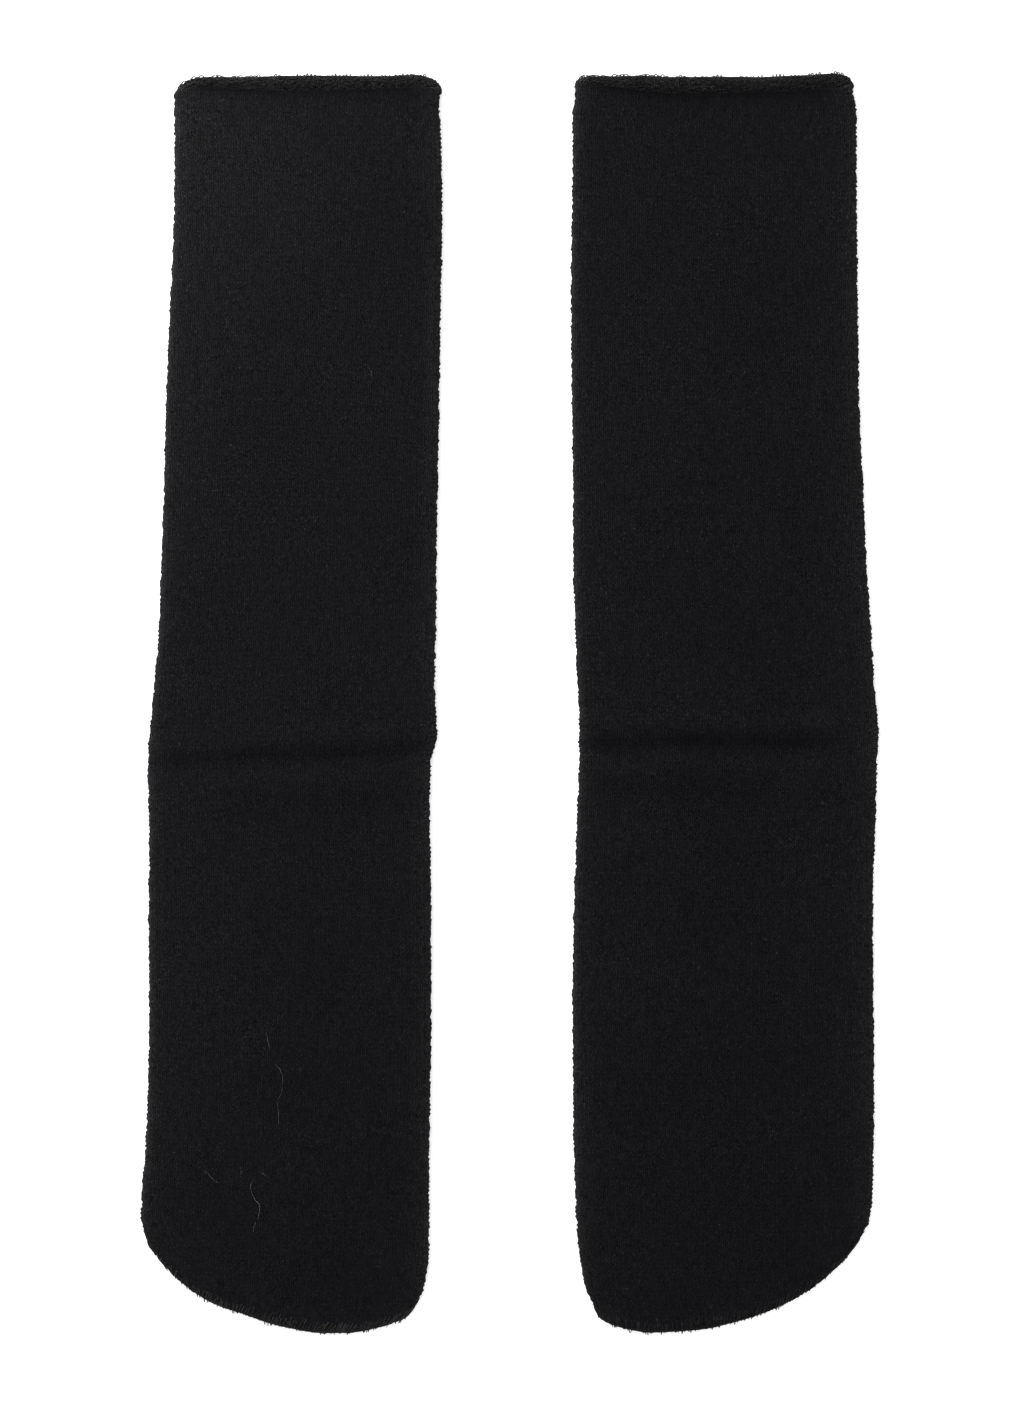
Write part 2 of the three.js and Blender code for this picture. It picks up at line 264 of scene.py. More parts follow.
def crease_shape(sock, share, down):
    """How deep each crease presses the cloth: -depth * exp(-|off|^1.6) in the trough, where off counts
    half widths from its middle line, plus a low shoulder on both sides."""
    total = 0
    for crease in sock["creases"]:
        middle = mix(crease["left"], crease["right"], share)
        middle = middle + wander(share, 0, (0.35, 0.61, 0, 1.0), (0.12, 0.17, 0, 2.2))
        uneven = 1 + wander(share, 0, (0.16, 0.31, 0, 0.4), (0.1, 0.12, 0, 1.9))
        off = np.abs(down - middle) / crease["half_width"]
        present = step(crease["start"] - CREASE_FADE, crease["start"] + CREASE_FADE, share)
        present = present * step(1 - crease["end"] - CREASE_FADE, 1 - crease["end"] + CREASE_FADE, 1 - share)
        trough = -crease["depth"] * uneven * np.exp(-(off**1.6))
        total = total + present * (trough + crease["shoulder"] * np.exp(-((off - SHOULDER_PLACE) ** 2)))
    return total


def relief(sock, down, share, before):
    """How much the upper layer lies off its plain height: the sag between the folds, the lip at the
    mouth, the creases, a slow waviness, and small puckers that fade out above the toe seam."""
    inside = step(0, FOLD_SHARE, share) * step(0, FOLD_SHARE, 1 - share)
    height = -inside * (PANEL_SAG + LIP_DIP * (1 - step(0, LIP_LENGTH, down)))
    height = height + crease_shape(sock, share, down)
    height = height + inside * wander(
        share, down, (0.09, 0.9, 150, 0.6), (0.06, -0.7, 84, 2.0), (0.04, 0.35, 47, 4.0)
    )
    pucker = wander(share, 0, (0.1, 0.043, 0, 0.3), (0.07, 0.029, 0, 1.1))
    height = height + inside * pucker * step(0.5, 3, before) * (1 - step(4, 13, before))
    return height * step(1, 12, before)


def loft(down, before):
    """How much a sock stands higher or lower than its plain thickness, slowly changing along it."""
    slow = wander(down, 0, (0.22, 149, 0, 1.1), (0.15, 71, 0, 2.7), (0.08, 37, 0, 0.5))
    return slow * step(4, 30, before) * step(2, 20, down)


def corner(share):
    """1 where the two layers come together beside each fold, and 0 on the fold and in the middle."""
    near = np.minimum(share, 1 - share)
    return step(0, 0.03, near) * (1 - step(0.07, 0.17, near))


def tube(sock, down, wale, inset):
    """Points (..., 3) of a sock, in millimetres from the middle of its mouth's upper line. The half
    ring from fold to fold is a quarter circle, a straight stretch and a quarter circle; the wale's
    share of its length says where on it the point lies. Upper and lower half mirror each other. inset
    is 0 on the outside of the cloth and WALL on the inside."""
    down, wale, inset = np.broadcast_arrays(*map(np.asarray, (down, wale, inset)))
    wale = wale % WALES_ROUND
    side = np.where(wale <= WALES_HALF, 1.0, -1.0)
    along = np.where(side > 0, wale, WALES_ROUND - wale) / WALES_HALF
    before = toe_down(sock, 0.5) - down
    low = read(TOE_END, "before", "low", before) + inset
    high = read(TOE_END, "before", "high", before) - inset + loft(down, before)
    radius = (high - low) / 2
    width = plan(sock, down, 1.0, 1.0)[0] - plan(sock, down, 0.0, 1.0)[0]
    flat = width - 2 * inset - 2 * radius
    quarter = np.pi / 2 * radius
    way = along * (flat + 2 * quarter)
    near, far = np.minimum(way, quarter) / radius, np.minimum(flat + 2 * quarter - way, quarter) / radius
    across = np.where(
        way < quarter + flat / 2,
        inset + radius * (1 - np.cos(near)) + np.maximum(0, way - quarter),
        width - inset - radius * (1 - np.cos(far)) - np.maximum(0, flat + quarter - way),
    )
    rise = side * np.sin(np.minimum(near, far))
    share, upper = across / width, (rise + 1) / 2
    x, y = plan(sock, down, share, upper)
    middle = step(0, 0.08, share) * step(0, 0.08, 1 - share)
    curl = CURL_UP * middle + CORNER_UP * corner(share)
    curl = curl * (1 - step(0, CURL_LENGTH, down)) * (1 - upper)
    pressed_up = -UNDER_CREASE * crease_shape(sock, share, down) * (1 - upper) ** 2
    z = mix(low, high, upper) + upper * relief(sock, down, share, before)
    z = z + curl + np.maximum(0, pressed_up)
    return np.stack([x, -y, z], -1)


# %% [markdown]
# ## The stitches
# Plain knitting shows columns of little Vs outside and rows of round bumps inside. A column is a wale
# and a row is a course. The larger form of the stitches goes into the mesh, so that the folds have a
# truly bumpy outline; the yarn itself is finer than the mesh and comes with the material.

# %% Stitch relief for the mesh
RIB_DEPTH = 0.12  # grooves between the wales on the layers
FOLD_DEPTH = 0.8  # and on the folds, where the stitches spread and stand out
FOLD_OUT = 0.2  # the tops of those stitches stand out past the plain form
REPEAT_WALES, REPEAT_COURSES = REPEAT = (17, 331)  # the disorder repeats after so many of them
no_two_alike = np.random.default_rng(5)
DIPS = no_two_alike.uniform(0.15, 1.2, REPEAT)  # how deep each dip between two stitches is
TOPS = no_two_alike.uniform(-0.25, 0.45, REPEAT)  # and how far each stitch lies back


def stitch_relief(wale, down):
    """How far a point lies below the tops of the stitches: the groove between two wales, (1 - cos)/2
    of the wale, and on the folds also the dip between two courses, (1 - cos)/2 of the course, where
    every stitch and every dip has a size of its own. Slow waves stand for knots in the yarn."""
    on_fold = 1 - step(FOLD_WALES - 1.5, FOLD_WALES + 2.5, from_fold(wale))
    column = np.round(wale).astype(int)
    course = down / COURSE + 0.5 * (column % 2)
    groove = (1 - np.cos(2 * np.pi * wale)) / 2
    dip = (1 - np.cos(2 * np.pi * course)) / 2
    deep = DIPS[column % REPEAT_WALES, np.floor(course).astype(int) % REPEAT_COURSES]
    back = TOPS[column % REPEAT_WALES, np.round(course).astype(int) % REPEAT_COURSES]
    bumps = 0.25 * groove + 0.75 * (dip * deep + (1 - dip) * back)
    around = wale % WALES_ROUND
    on_upper = step(-1, 1, around) * (1 - step(WALES_HALF - 1, WALES_HALF + 1, around))
    rib = RIB_DEPTH * groove * np.maximum(on_upper, on_fold)
    knots = wander(down, wale, (0.06, 2.9, 60, 0), (0.07, 6.1, 50, 2.0), (0.05, 11.3, 80, 0.3))
    return rib * (1 - on_fold) + on_fold * (FOLD_DEPTH * bumps - FOLD_OUT - knots)


# %% Where the rings lie
def stations(*stretches):
    """Places from each start to its end in about even steps."""
    places = [
        np.linspace(start, end, max(1, round((end - start) / size)), endpoint=False)
        for start, end, size in stretches
    ]
    return np.concatenate([*places, [stretches[-1][1]]])


ROUGH_TO_FINE = 6  # each step down the layers is this many steps on the folds
PANEL_COLUMNS = 3  # mesh columns for each wale of the upper layer and on the folds
LOWER_COLUMNS = 0.5  # and for each wale of the lower layer
RIM = 0.55  # how far the rounded rim stands out past the first ring
CAVITY_END = 4.0  # the hollow stops this far before the seam


def path_of(sock):
    """The rows of the cloth's mesh, from the toe end of its inside, up to the mouth, round the rim and
    down the outside to the toe seam, as two arrays: down, and the inset in the cloth."""
    toe = toe_down(sock, 0.5)
    inside = stations((RIM, 3, 1.2), (3, 12, 3), (12, toe - CAVITY_END, 19))[::-1]
    turn = np.linspace(0, np.pi, 5)[1:-1]
    outside = stations(
        (RIM, 9, 1.0), (9, 196, 2 * COURSE), (196, 232, 1.2), (232, 374, 2 * COURSE),
        (374, toe - 6, 1.5), (toe - 6, toe, 0.5),
    )
    down = np.concatenate([inside, RIM - RIM * np.sin(turn), outside])
    inset = np.concatenate([inside * 0 + WALL, WALL * (1 + np.cos(turn)) / 2, outside * 0])
    return down, inset


def finer(values, parts):
    """The same row places with parts - 1 more between each two."""
    n = len(values)
    return np.interp(np.arange((n - 1) * parts + 1) / parts, np.arange(n), values)


# %% [markdown]
# ## Meshes from arrays
# A surface is a grid of points, computed as whole arrays. The folds need small steps down the tube and
# the wide layers don't, so a sock's mesh has four blocks with different steps, joined by fans of
# triangles. One helper puts points and faces into a Blender mesh with foreach_set.

# %% Mesh helpers
def make_mesh(name, points, faces, stitches=None, **attributes):
    """A mesh object at the origin from points in millimetres and lists of face arrays with 3 or 4
    corners. stitches gives each point its (wale, down) for the UV map of that name; other arrays
    become attributes of the points."""
    mesh = bpy.data.meshes.new(name)
    corners = np.concatenate([f.ravel() for f in faces])
    counts = np.concatenate([np.full(len(f), f.shape[1]) for f in faces])
    mesh.vertices.add(len(points))
    mesh.vertices.foreach_set("co", (points * MM).astype(np.float32).ravel())
    mesh.loops.add(len(corners))
    mesh.loops.foreach_set("vertex_index", corners.astype(np.int32))
    mesh.polygons.add(len(counts))
    mesh.polygons.foreach_set("loop_start", (np.cumsum(counts) - counts).astype(np.int32))
    mesh.polygons.foreach_set("use_smooth", np.ones(len(counts), bool))
    if stitches is not None:
        uv = []
        for f in faces:  # a face across the start of the count takes the next round's numbers
            wale = stitches[f, 0]
            wraps = (wale.max(1) - wale.min(1) > WALES_HALF)[:, None] & (wale < WALES_HALF)
            uv.append(np.stack([wale + WALES_ROUND * wraps, stitches[f, 1] / COURSE], -1).reshape(-1, 2))
        layer = mesh.uv_layers.new(name="stitches")
        layer.uv.foreach_set("vector", np.concatenate(uv).astype(np.float32).ravel())
    for key, values in attributes.items():
        mesh.attributes.new(key, "FLOAT", "POINT").data.foreach_set("value", values.astype(np.float32))
    mesh.update()
    mesh.validate()
    made = bpy.data.objects.new(name, mesh)
    bpy.context.scene.collection.objects.link(made)
    return made


def quads(ids, flip=False):
    """Faces between neighbouring rows and columns of a grid of point numbers."""
    a, b, c, d = ids[:-1, :-1], ids[:-1, 1:], ids[1:, 1:], ids[1:, :-1]
    corners = [a, d, c, b] if flip else [a, b, c, d]
    return np.stack([x.ravel() for x in corners], -1)


def fan(fine, rough, flip=False):
    """Triangles between a line of points and one with fewer, whose steps each span the same number of
    fine ones: half of these turn round the step's first rough point and half round its second."""
    parts = (len(fine) - 1) // (len(rough) - 1)
    j = np.repeat(np.arange(len(rough) - 1), parts)
    k = np.arange(len(fine) - 1)
    later = (k % parts >= parts // 2).astype(int)
    around = np.stack([rough[j + later], fine[k], fine[k + 1]], -1)
    m = np.arange(len(rough) - 1)
    between = np.stack([rough[m], fine[m * parts + parts // 2], rough[m + 1]], -1)
    faces = np.concatenate([around, between])
    return faces[:, ::-1] if flip else faces


def unit(vectors):
    """The same directions, each divided by its length."""
    return vectors / np.maximum(np.linalg.norm(vectors, axis=-1, keepdims=True), 1e-9)


def outward(points):
    """Unit normals of a grid of points, from the cross product of its two directions."""
    return unit(np.cross(np.gradient(points, axis=0), np.gradient(points, axis=1)))


# %% [markdown]
# ## The cloth
# Each sock's cloth is one closed shell, as thick as the real cloth: we walk along its inside from the
# toe to the mouth, round the rim, and back along its outside, ring after ring. The closed toe is the
# last ring, whose upper and lower half meet in the seam.

# %% A sock's cloth
SHADE_NAP = -0.27  # painted shade: a tone so low that it gives no light at all
PLAIN_NAP, FULL_NAP = 0.5, 2.2  # as knitted, and the most that painted sheen by a fold can lift it
FOLD_SHEEN_BELLS = [  # painted sheen beside each fold: its height at the left and the right fold, and its place and width in wales
    (0.83, 0.78, 0, 3.6),
    (0.6, 0.95, 0, 1.9),
    (0.1, 0.5, 1.3, 0.5),
]


def nap_and_painted_light(sock, wale, down, before_toe):
    """A tone for the colour, named after the fuzz, that holds painted light and shade: plain as knitted,
    lifted by painted sheen in bands beside the folds, lighter along the toe's edge where fuzz stands up
    and painted sheen lies on it, lighter near the mouth's left corner as a painted pool of light, and
    darkened to about 0 by painted shade in the creases' troughs and below the mouth's edge. Each part is
    a bell exp(-(x/w)^2) of the distance from its place, with a narrow one beside each fold and a long
    tail exp(-x/w)."""
    near_fold = from_fold(wale)
    share = (wale % WALES_ROUND) / WALES_HALF
    share = np.where(share > 1, 2 - share, share)
    upper = wale % WALES_ROUND < WALES_HALF
    at_right = step(0.4, 0.6, share)
    # Painted sheen: the colour is lighter in bands beside the folds, where fuzz catches light at a slant.
    painted_fold_sheen = sum(
        mix(left, right, at_right) * np.exp(-(((near_fold - place) / width) ** 2))
        for left, right, place, width in FOLD_SHEEN_BELLS
    )
    painted_fold_sheen = painted_fold_sheen + mix(*sock["fold_nap"], at_right) * np.exp(-near_fold / 10)
    uneven = 1 + wander(share, 0, (0.22, 0.23, 0, 1.0), (0.18, 0.087, 0, 0.2))
    # Lighter along the toe seam: fuzz that stands up there, with painted sheen on it.
    at_toe = 1.6 * uneven * np.exp(-((before_toe / 1.4) ** 2)) * sock["toe_nap"]
    at_toe = at_toe + 0.12 * np.exp(-(((before_toe - 4.6) / 2.9) ** 2))
    # Painted light: a pool of lighter colour near the mouth's left corner, nearest the lamp.
    brushed = sock["brushed"] * np.exp(-((share / 0.75) ** 2) - (down / 75) ** 2)
    # Painted shade: darker in the troughs of the packet creases.
    painted_crease_shade = 0.6 * np.clip(-crease_shape(sock, share, down), -0.1, 1)
    # Painted shade: the upper layer darkens towards its edge at the mouth, darkest at its rim, where it meets
    # the strip behind.
    from_lip = np.maximum(0, down - read(sock["front_edge"], "across", "down", share))
    painted_lip_shade = 0.33 * np.exp(-((from_lip / 4.4) ** 1.6)) + 0.2 * np.exp(-((from_lip / 1.5) ** 2))
    painted_lip_shade = painted_lip_shade + 0.22 * (1 - step(0.2, 0.9, from_lip))
    painted_lip_shade = painted_lip_shade * step(0.05, 0.13, share) * step(0.07, 0.14, 1 - share) * upper
    stands = PLAIN_NAP + painted_fold_sheen + at_toe + brushed - painted_crease_shade
    return np.clip(mix(stands, SHADE_NAP, painted_lip_shade), -0.1, FULL_NAP)


def strip_painted_shade(sock, share, down):
    """Painted light and shade on the strip that shows inside the mouth: a painted highlight along the rim,
    as a narrow bell exp(-x^2) of the distance from it, and painted shade from the upper layer's edge,
    deepening towards it as exp(-x/2.5), but less at the corners."""
    from_rim = np.maximum(0, down - read(sock["back_edge"], "across", "down", share))
    middle = step(0.06, 0.2, share) * step(0.04, 0.12, 1 - share)
    lip_shaded_tone = mix(0.74, 0.2, middle) + mix(0.4, 1.1, middle) * np.exp(-from_rim / 2.5)
    return lip_shaded_tone + 0.35 * np.exp(-(from_rim**2))


def block(sock, down, inset, wales):
    """Points of a grid, with its rows from down and inset and its columns from wales, and for each
    point its wale, its place down, 1 if it is inside, and its nap, a tone for the colour that carries
    painted light and shade. The stitch relief is sunk into the outside along the normals."""
    points = tube(sock, down[:, None], wales[None, :], inset[:, None])
    plan_down = np.broadcast_to(-points[..., 1], points.shape[:2])
    outside = np.clip(1 - inset / WALL, 0, 1)[:, None]
    sink = stitch_relief(wales[None, :], plan_down) * outside
    before_toe = toe_down(sock, 0.5) - down
    sink = sink * np.where(inset > 0, 1, step(0, 1.5, before_toe))[:, None]
    points = points - outward(points) * sink[..., None]
    points[..., 2] = np.maximum(points[..., 2], 0)
    wale = np.broadcast_to(wales, plan_down.shape)
    inside = np.broadcast_to((inset / WALL)[:, None], plan_down.shape)
    nap = nap_and_painted_light(sock, wale, plan_down, before_toe[:, None])
    lower = wale % WALES_ROUND > WALES_HALF
    # Inside the lower layer the strip's painted shade and highlight take over.
    nap = mix(nap, strip_painted_shade(sock, 2 - (wale % WALES_ROUND) / WALES_HALF, plan_down), inside * lower)
    return points, np.stack([wale, plan_down, inside, nap], -1)


def cloth(sock):
    """The whole shell of a sock. Its blocks go round the tube: the left fold, the upper layer, the
    right fold and the lower layer."""
    rough = path_of(sock)
    fine = tuple(finer(values, ROUGH_TO_FINE) for values in rough)
    bend = np.linspace(-FOLD_WALES, FOLD_WALES, 2 * FOLD_WALES * PANEL_COLUMNS + 1)
    start, end = FOLD_WALES, WALES_HALF - FOLD_WALES
    upper = np.linspace(start, end, (end - start) * PANEL_COLUMNS + 1)
    lower = np.linspace(start, end, round((end - start) * LOWER_COLUMNS) + 1) + WALES_HALF
    blocks = (fine, bend), (rough, upper), (fine, bend + WALES_HALF), (rough, lower)
    grids, points, stitches, count = [], [], [], 0
    for rows, wales in blocks:
        p, s = block(sock, *rows, wales)
        if rows is not fine:  # its first and last column are the folds' own
            p, s = p[:, 1:-1], s[:, 1:-1]
        grids.append(count + np.arange(p[..., 0].size).reshape(p.shape[:2]))
        points.append(p.reshape(-1, 3))
        stitches.append(s.reshape(-1, 4))
        count += p[..., 0].size
    left, top, right, under = grids
    faces = [quads(grid) for grid in grids]
    faces += [
        fan(left[:, -1], top[:, 0], flip=True), fan(right[:, 0], top[:, -1]),
        fan(right[:, -1], under[:, 0], flip=True), fan(left[:, 0], under[:, -1]),
    ]
    for row, flip in ((0, True), (-1, False)):  # close both ends of the walk
        middle = FOLD_WALES * PANEL_COLUMNS
        for grid, above, below in (
            (left, left[row, middle:], left[row, middle::-1]),
            (right, right[row, middle::-1], right[row, middle:]),
        ):
            turn = flip if grid is left else not flip
            faces.append(quads(np.stack([below, above])[:, 1:], not turn))
            tip = np.array([[below[0], above[1], below[1]]])
            faces.append(tip if turn else tip[:, ::-1])
        top_line = np.concatenate([left[row, -1:], top[row], right[row, :1]])
        under_line = np.concatenate([left[row, :1], under[row, ::-1], right[row, -1:]])
        faces.append(fan(top_line, under_line, flip=flip))
    points = np.concatenate(points)
    points[:, :2] += sock["place_x"], sock["place_y"]
    wale, plan_down, inside, nap = np.concatenate(stitches).T
    made = make_mesh(
        sock["node"] + "_cloth", points, faces, np.stack([wale, plan_down], -1), inside=inside, nap=nap
    )
    triangles = sum(len(f) * (f.shape[1] - 2) for f in faces)
    print(made.name, "has", triangles, "triangles")
    return made


for sock in SOCKS:
    sock["cloth"] = cloth(sock)

# %% [markdown]
# ## Yarn pieces
# The mesh of the cloth is coarser than its yarn, so the places where single loops of yarn show get
# their own pieces: the purl bumps inside the mouth, the edge loops round the mouth, the stitches that
# close the toe and the fuzz. Curves with a bevel would do, but thousands of them are heavy, so we make
# all strands of one piece at once, as arrays of rings.

# %% Strands of yarn
ASKEW = np.array([0.31, 0.42, 0.85])  # a direction that hardly any strand follows


def strands(name, paths, radii, sides, nap=None):
    """Closed tubes round many paths at once. paths is (strands, points, 3). Each point gets a ring
    with radius r of corners path + r * (cos a * normal + sin a * binormal), where the normal is square
    to the path's direction and the binormal is square to both. nap gives each strand its tone for the
    colour, which carries painted light and shade."""
    count, length, _ = paths.shape
    radii = np.broadcast_to(radii, (count, length))
    along = unit(np.gradient(paths, axis=1))
    normal = unit(np.cross(along, ASKEW))
    binormal = np.cross(along, normal)
    turn = (np.arange(sides) * 2 * np.pi / sides)[:, None]
    around = normal[:, :, None] * np.cos(turn) + binormal[:, :, None] * np.sin(turn)
    points = paths[:, :, None] + radii[:, :, None, None] * around
    ids = np.arange(count * length * sides).reshape(count, length, sides)
    after = np.roll(ids, -1, axis=2)
    walls = np.stack([ids[:, :-1], after[:, :-1], after[:, 1:], ids[:, 1:]], -1).reshape(-1, 4)
    faces = [walls, ids[:, 0, ::-1], ids[:, -1]]
    if nap is None:
        return make_mesh(name, points.reshape(-1, 3), faces)
    nap = np.broadcast_to(nap, (count, length))
    return make_mesh(name, points.reshape(-1, 3), faces, nap=np.repeat(nap.ravel(), sides))


def standing(sock, points, lowest):
    """Moves points of a sock to its place in the pair, and keeps them above the table."""
    points = points + np.array([sock["place_x"], sock["place_y"], 0])
    points[..., 2] = np.maximum(points[..., 2], lowest)
    return points


def skin(sock, down, wale, inset):
    """Points of a sock's cloth with their outward normals, from two short steps along the surface."""
    here = tube(sock, down, wale, inset)
    ahead = tube(sock, down + 0.2, wale, inset) - here
    aside = tube(sock, down, wale + 0.1, inset) - here
    return here, unit(np.cross(ahead, aside))


def for_each_sock(key, make, first_seed):
    """Makes one kind of piece for each sock, with a seed of its own, and keeps it under key."""
    for number, sock in enumerate(SOCKS):
        sock[key] = make(sock, first_seed + number)
        print(sock[key].name, "has", len(sock[key].data.polygons), "faces")


# %% Purl bumps inside the mouth
PURL_COURSES = 5  # so many rows of them show behind the upper layer's edge
YARN = 0.2  # half the thickness of the yarn


def purl_bumps(sock, seed):
    """The inside of plain knitting on the strip of the lower layer that shows at the mouth. Every
    stitch has a bow and, half a wale further, a bow the other way: half ellipses, cos across and sin
    along, with some disorder."""
    random = np.random.default_rng(seed)
    wale, course, way = np.meshgrid(
        np.arange(WALES_HALF + 1.5, WALES_ROUND - 1), np.arange(PURL_COURSES), [1, -1], indexing="ij"
    )
    wale, course, way = (a.reshape(-1, 1) for a in (wale, course, way))
    messy = random.normal(0, 1, (4, len(wale), 1))
    arc = np.linspace(0, np.pi, 6)
    size = 1 + 0.13 * messy[0]
    across = wale + 0.25 * way + 0.4 * size * np.cos(arc) + 0.1 * messy[1]
    down = 0.75 + COURSE * 0.92 * course + way * 0.5 * size * np.sin(arc) + 0.12 * messy[2]
    here, normal = skin(sock, np.maximum(down, 0.25), across, WALL)
    raise_by = 0.1 + 0.12 * np.sin(arc) + 0.06 * messy[3]
    paths = standing(sock, here - normal * raise_by[..., None], YARN)
    # Painted shade from the upper layer's edge and a painted highlight along the rim, with a random spread.
    nap = strip_painted_shade(sock, 2 - wale / WALES_HALF, -here[..., 1]) + 0.24 * messy[3]
    return strands(sock["node"] + "_purl_bumps", paths, YARN, 4, nap)


for_each_sock("purl", purl_bumps, 11)

# %% Edge loops round the mouth
def edge_loops(sock, seed):
    """One loop of yarn for each wale of the lower layer and the folds, from the outside of the cloth
    over the rim to its inside, at a slant: a half circle through the wall's thickness, drawn out a
    little past the rim. The upper layer's rim is curled in, and shows none."""
    random = np.random.default_rng(seed)
    wale = np.concatenate([np.arange(WALES_HALF - 3, WALES_ROUND), np.arange(4)])[:, None]
    wale = wale + random.normal(0, 0.1, wale.shape)
    arc = np.linspace(-0.5, np.pi + 0.5, 8)
    reach = 1.3 + random.normal(0, 0.5, wale.shape) + wander(wale, 0, (0.5, 5.3, 0, 0), (0.4, 8.7, 0, 1.4))
    reach = np.clip(reach, 0.3, 2.1)
    down = RIM - reach * RIM * np.sin(arc)
    inset = WALL * (0.5 - 0.44 * np.cos(arc))
    slant = 0.28 * np.cos(arc) * random.normal(1, 0.3, wale.shape)
    here = tube(sock, np.maximum(down, 0), wale + slant, inset)
    here[..., 1] += np.maximum(-down, 0)
    # Lighter than the plain cloth, with a random spread: a painted highlight along the rim of the mouth.
    nap = np.clip(random.normal(1.35, 0.45, wale.shape), 0.3, 2.2)
    return strands(sock["node"] + "_edge_loops", standing(sock, here, YARN), YARN * 1.05, 4, nap)


for_each_sock("edge", edge_loops, 21)

# %% Stitches that close the toe
SEAM_YARN = 0.15  # half the thickness of the sewing yarn


def toe_stitches(sock, seed):
    """Overcast stitches along the toe: each goes from a groove on the upper layer over the tip to the
    lower layer, following the cloth at a small distance, and sinks in at both ends."""
    random = np.random.default_rng(seed)
    wale = np.arange(1.5, WALES_HALF - 1, 0.55)[:, None]
    wale = wale + random.normal(0, 0.25, wale.shape)
    messy = random.normal(0, 1, (3, len(wale), 1))
    before = np.array([2.7, 2.2, 1.5, 0.8, 0.25, 0, 0.5, 1.2]) * (1 + 0.2 * messy[0])
    off = np.array([-0.1, 0.08, 0.14, 0.14, 0.12, 0.1, 0.05, -0.1]) + 0.03 * messy[1]
    lower = np.arange(8) >= 6
    slant = np.linspace(0.45, -0.45, 8) * (1 + 0.8 * messy[2])
    across = np.where(lower, WALES_ROUND - wale - slant, wale + slant)
    here, normal = skin(sock, toe_down(sock, 0.5) - before - 0.2 * (before < 0.1), across, 0.0)
    beyond = 0.3 + random.normal(0, 0.3, len(wale))
    beyond = beyond + wander(wale[:, 0], 0, (0.2, 4.7, 0, 0), (0.15, 9.1, 0, 2.0))
    here[:, 5, 1] -= beyond
    here[:, 5, 2] = (here[:, 4, 2] + here[:, 6, 2]) / 2
    paths = standing(sock, here + normal * off[..., None], YARN)
    uneven = 1 + wander(wale, 0, (0.22, 17.5, 0, 1.0), (0.18, 6.6, 0, 0.2))
    # Lighter along the toe seam: fuzz that stands up, with painted sheen on it.
    nap = np.clip(0.15 + 0.85 * sock["toe_nap"] * uneven + random.normal(0, 0.18, wale.shape), 0.1, 2.2)
    return strands(sock["node"] + "_toe_stitches", paths, SEAM_YARN, 4, nap)


for_each_sock("toe", toe_stitches, 31)

# %% [markdown]
# ## Fuzz and lint
# Spun yarn has fibre ends that stand off it. Against a pale table they blur the outline of a black
# sock, and they catch light along its folds. Blender's hair would look as good, but it stays behind
# when a model is exported, so each fibre is a thin pointed tube with three sides.

# %% Fuzz
FIBRES = 9100  # on each sock


def fuzz(sock, seed):
    """Fibres from random places. A fibre leaves along a mix of the cloth's normal and a direction in
    the surface, and curls: base + length * (t * direction + t^2 * curl)."""
    random = np.random.default_rng(seed)
    toe = toe_down(sock, 0.5)
    on_fold, at_toe, at_mouth = FIBRES * 5 // 13, FIBRES // 13, FIBRES // 13
    wale = random.uniform(0, WALES_HALF, FIBRES)
    down = random.uniform(0.3, toe - 0.5, FIBRES)
    wale[:on_fold] = random.normal(0, 1.6, on_fold) + WALES_HALF * random.integers(0, 2, on_fold)
    down[on_fold : on_fold + at_toe] = toe - random.uniform(0.05, 2.5, at_toe)
    down[-at_mouth:] = random.uniform(0, 1.2, at_mouth)
    wale[-at_mouth:] = random.uniform(WALES_HALF - 3, WALES_ROUND + 3, at_mouth)
    down, wale = down[:, None], wale[:, None]
    here, normal = skin(sock, down, wale, 0.0)
    loose = random.normal(0, 1, (FIBRES, 1, 3))
    direction = unit(normal * random.uniform(0.25, 0.9, (FIBRES, 1, 1)) + 0.55 * loose)
    curl = random.normal(0, 0.45, (FIBRES, 1, 3))
    length = 0.35 + 0.75 * random.power(0.6, (FIBRES, 1, 1)) * random.uniform(0.4, 1, (FIBRES, 1, 1))
    t = np.linspace(0, 1, 3)[:, None]
    paths = here - 0.05 * normal + length * (t * direction + t * t * curl)
    return strands(sock["node"] + "_fuzz", standing(sock, paths, 0.05), np.array([0.03, 0.024, 0.005]), 3)


for_each_sock("fuzz", fuzz, 41)

# %% Lint on one sock
HAIR_POINTS = 22  # points along each hair
LINT = [  # each a path of (x, down) on the sock's upper layer, and how thick the hair is
    (
        [(-16.3, 341.9), (-17.3, 344.6), (-15.8, 348.2), (-14.4, 350.2), (-14.6, 352.8), (-15.2, 354.6)],
        0.05,
    ),
    ([(-15.6, 355.2), (-16.2, 356.8), (-16.3, 358.4)], 0.035),
    ([(-31.6, 339.2), (-30.2, 340.4), (-28.6, 342.1), (-26.9, 343.2)], 0.04),
    ([(-14.2, 339.7), (-13.2, 340.3), (-12.3, 340.8)], 0.036),
    ([(-20.4, 338.3), (-20.1, 339.6), (-20.3, 341.0)], 0.038),
    ([(-12.4, 296.4), (-11.8, 299.2), (-11.4, 301.9)], 0.035),
    ([(-10.0, 306.1), (-8.7, 307.2), (-7.6, 308.9), (-7.2, 311.9)], 0.042),
    ([(-7.2, 311.9), (-7.6, 314.7), (-9.0, 317.8)], 0.02),
    ([(-9.0, 317.8), (-8.6, 322.0), (-8.5, 325.5)], 0.032),
    ([(19.4, 91.0), (20.1, 92.2), (20.0, 93.9)], 0.04),
    ([(10.9, 67.9), (11.5, 68.7)], 0.04),
]


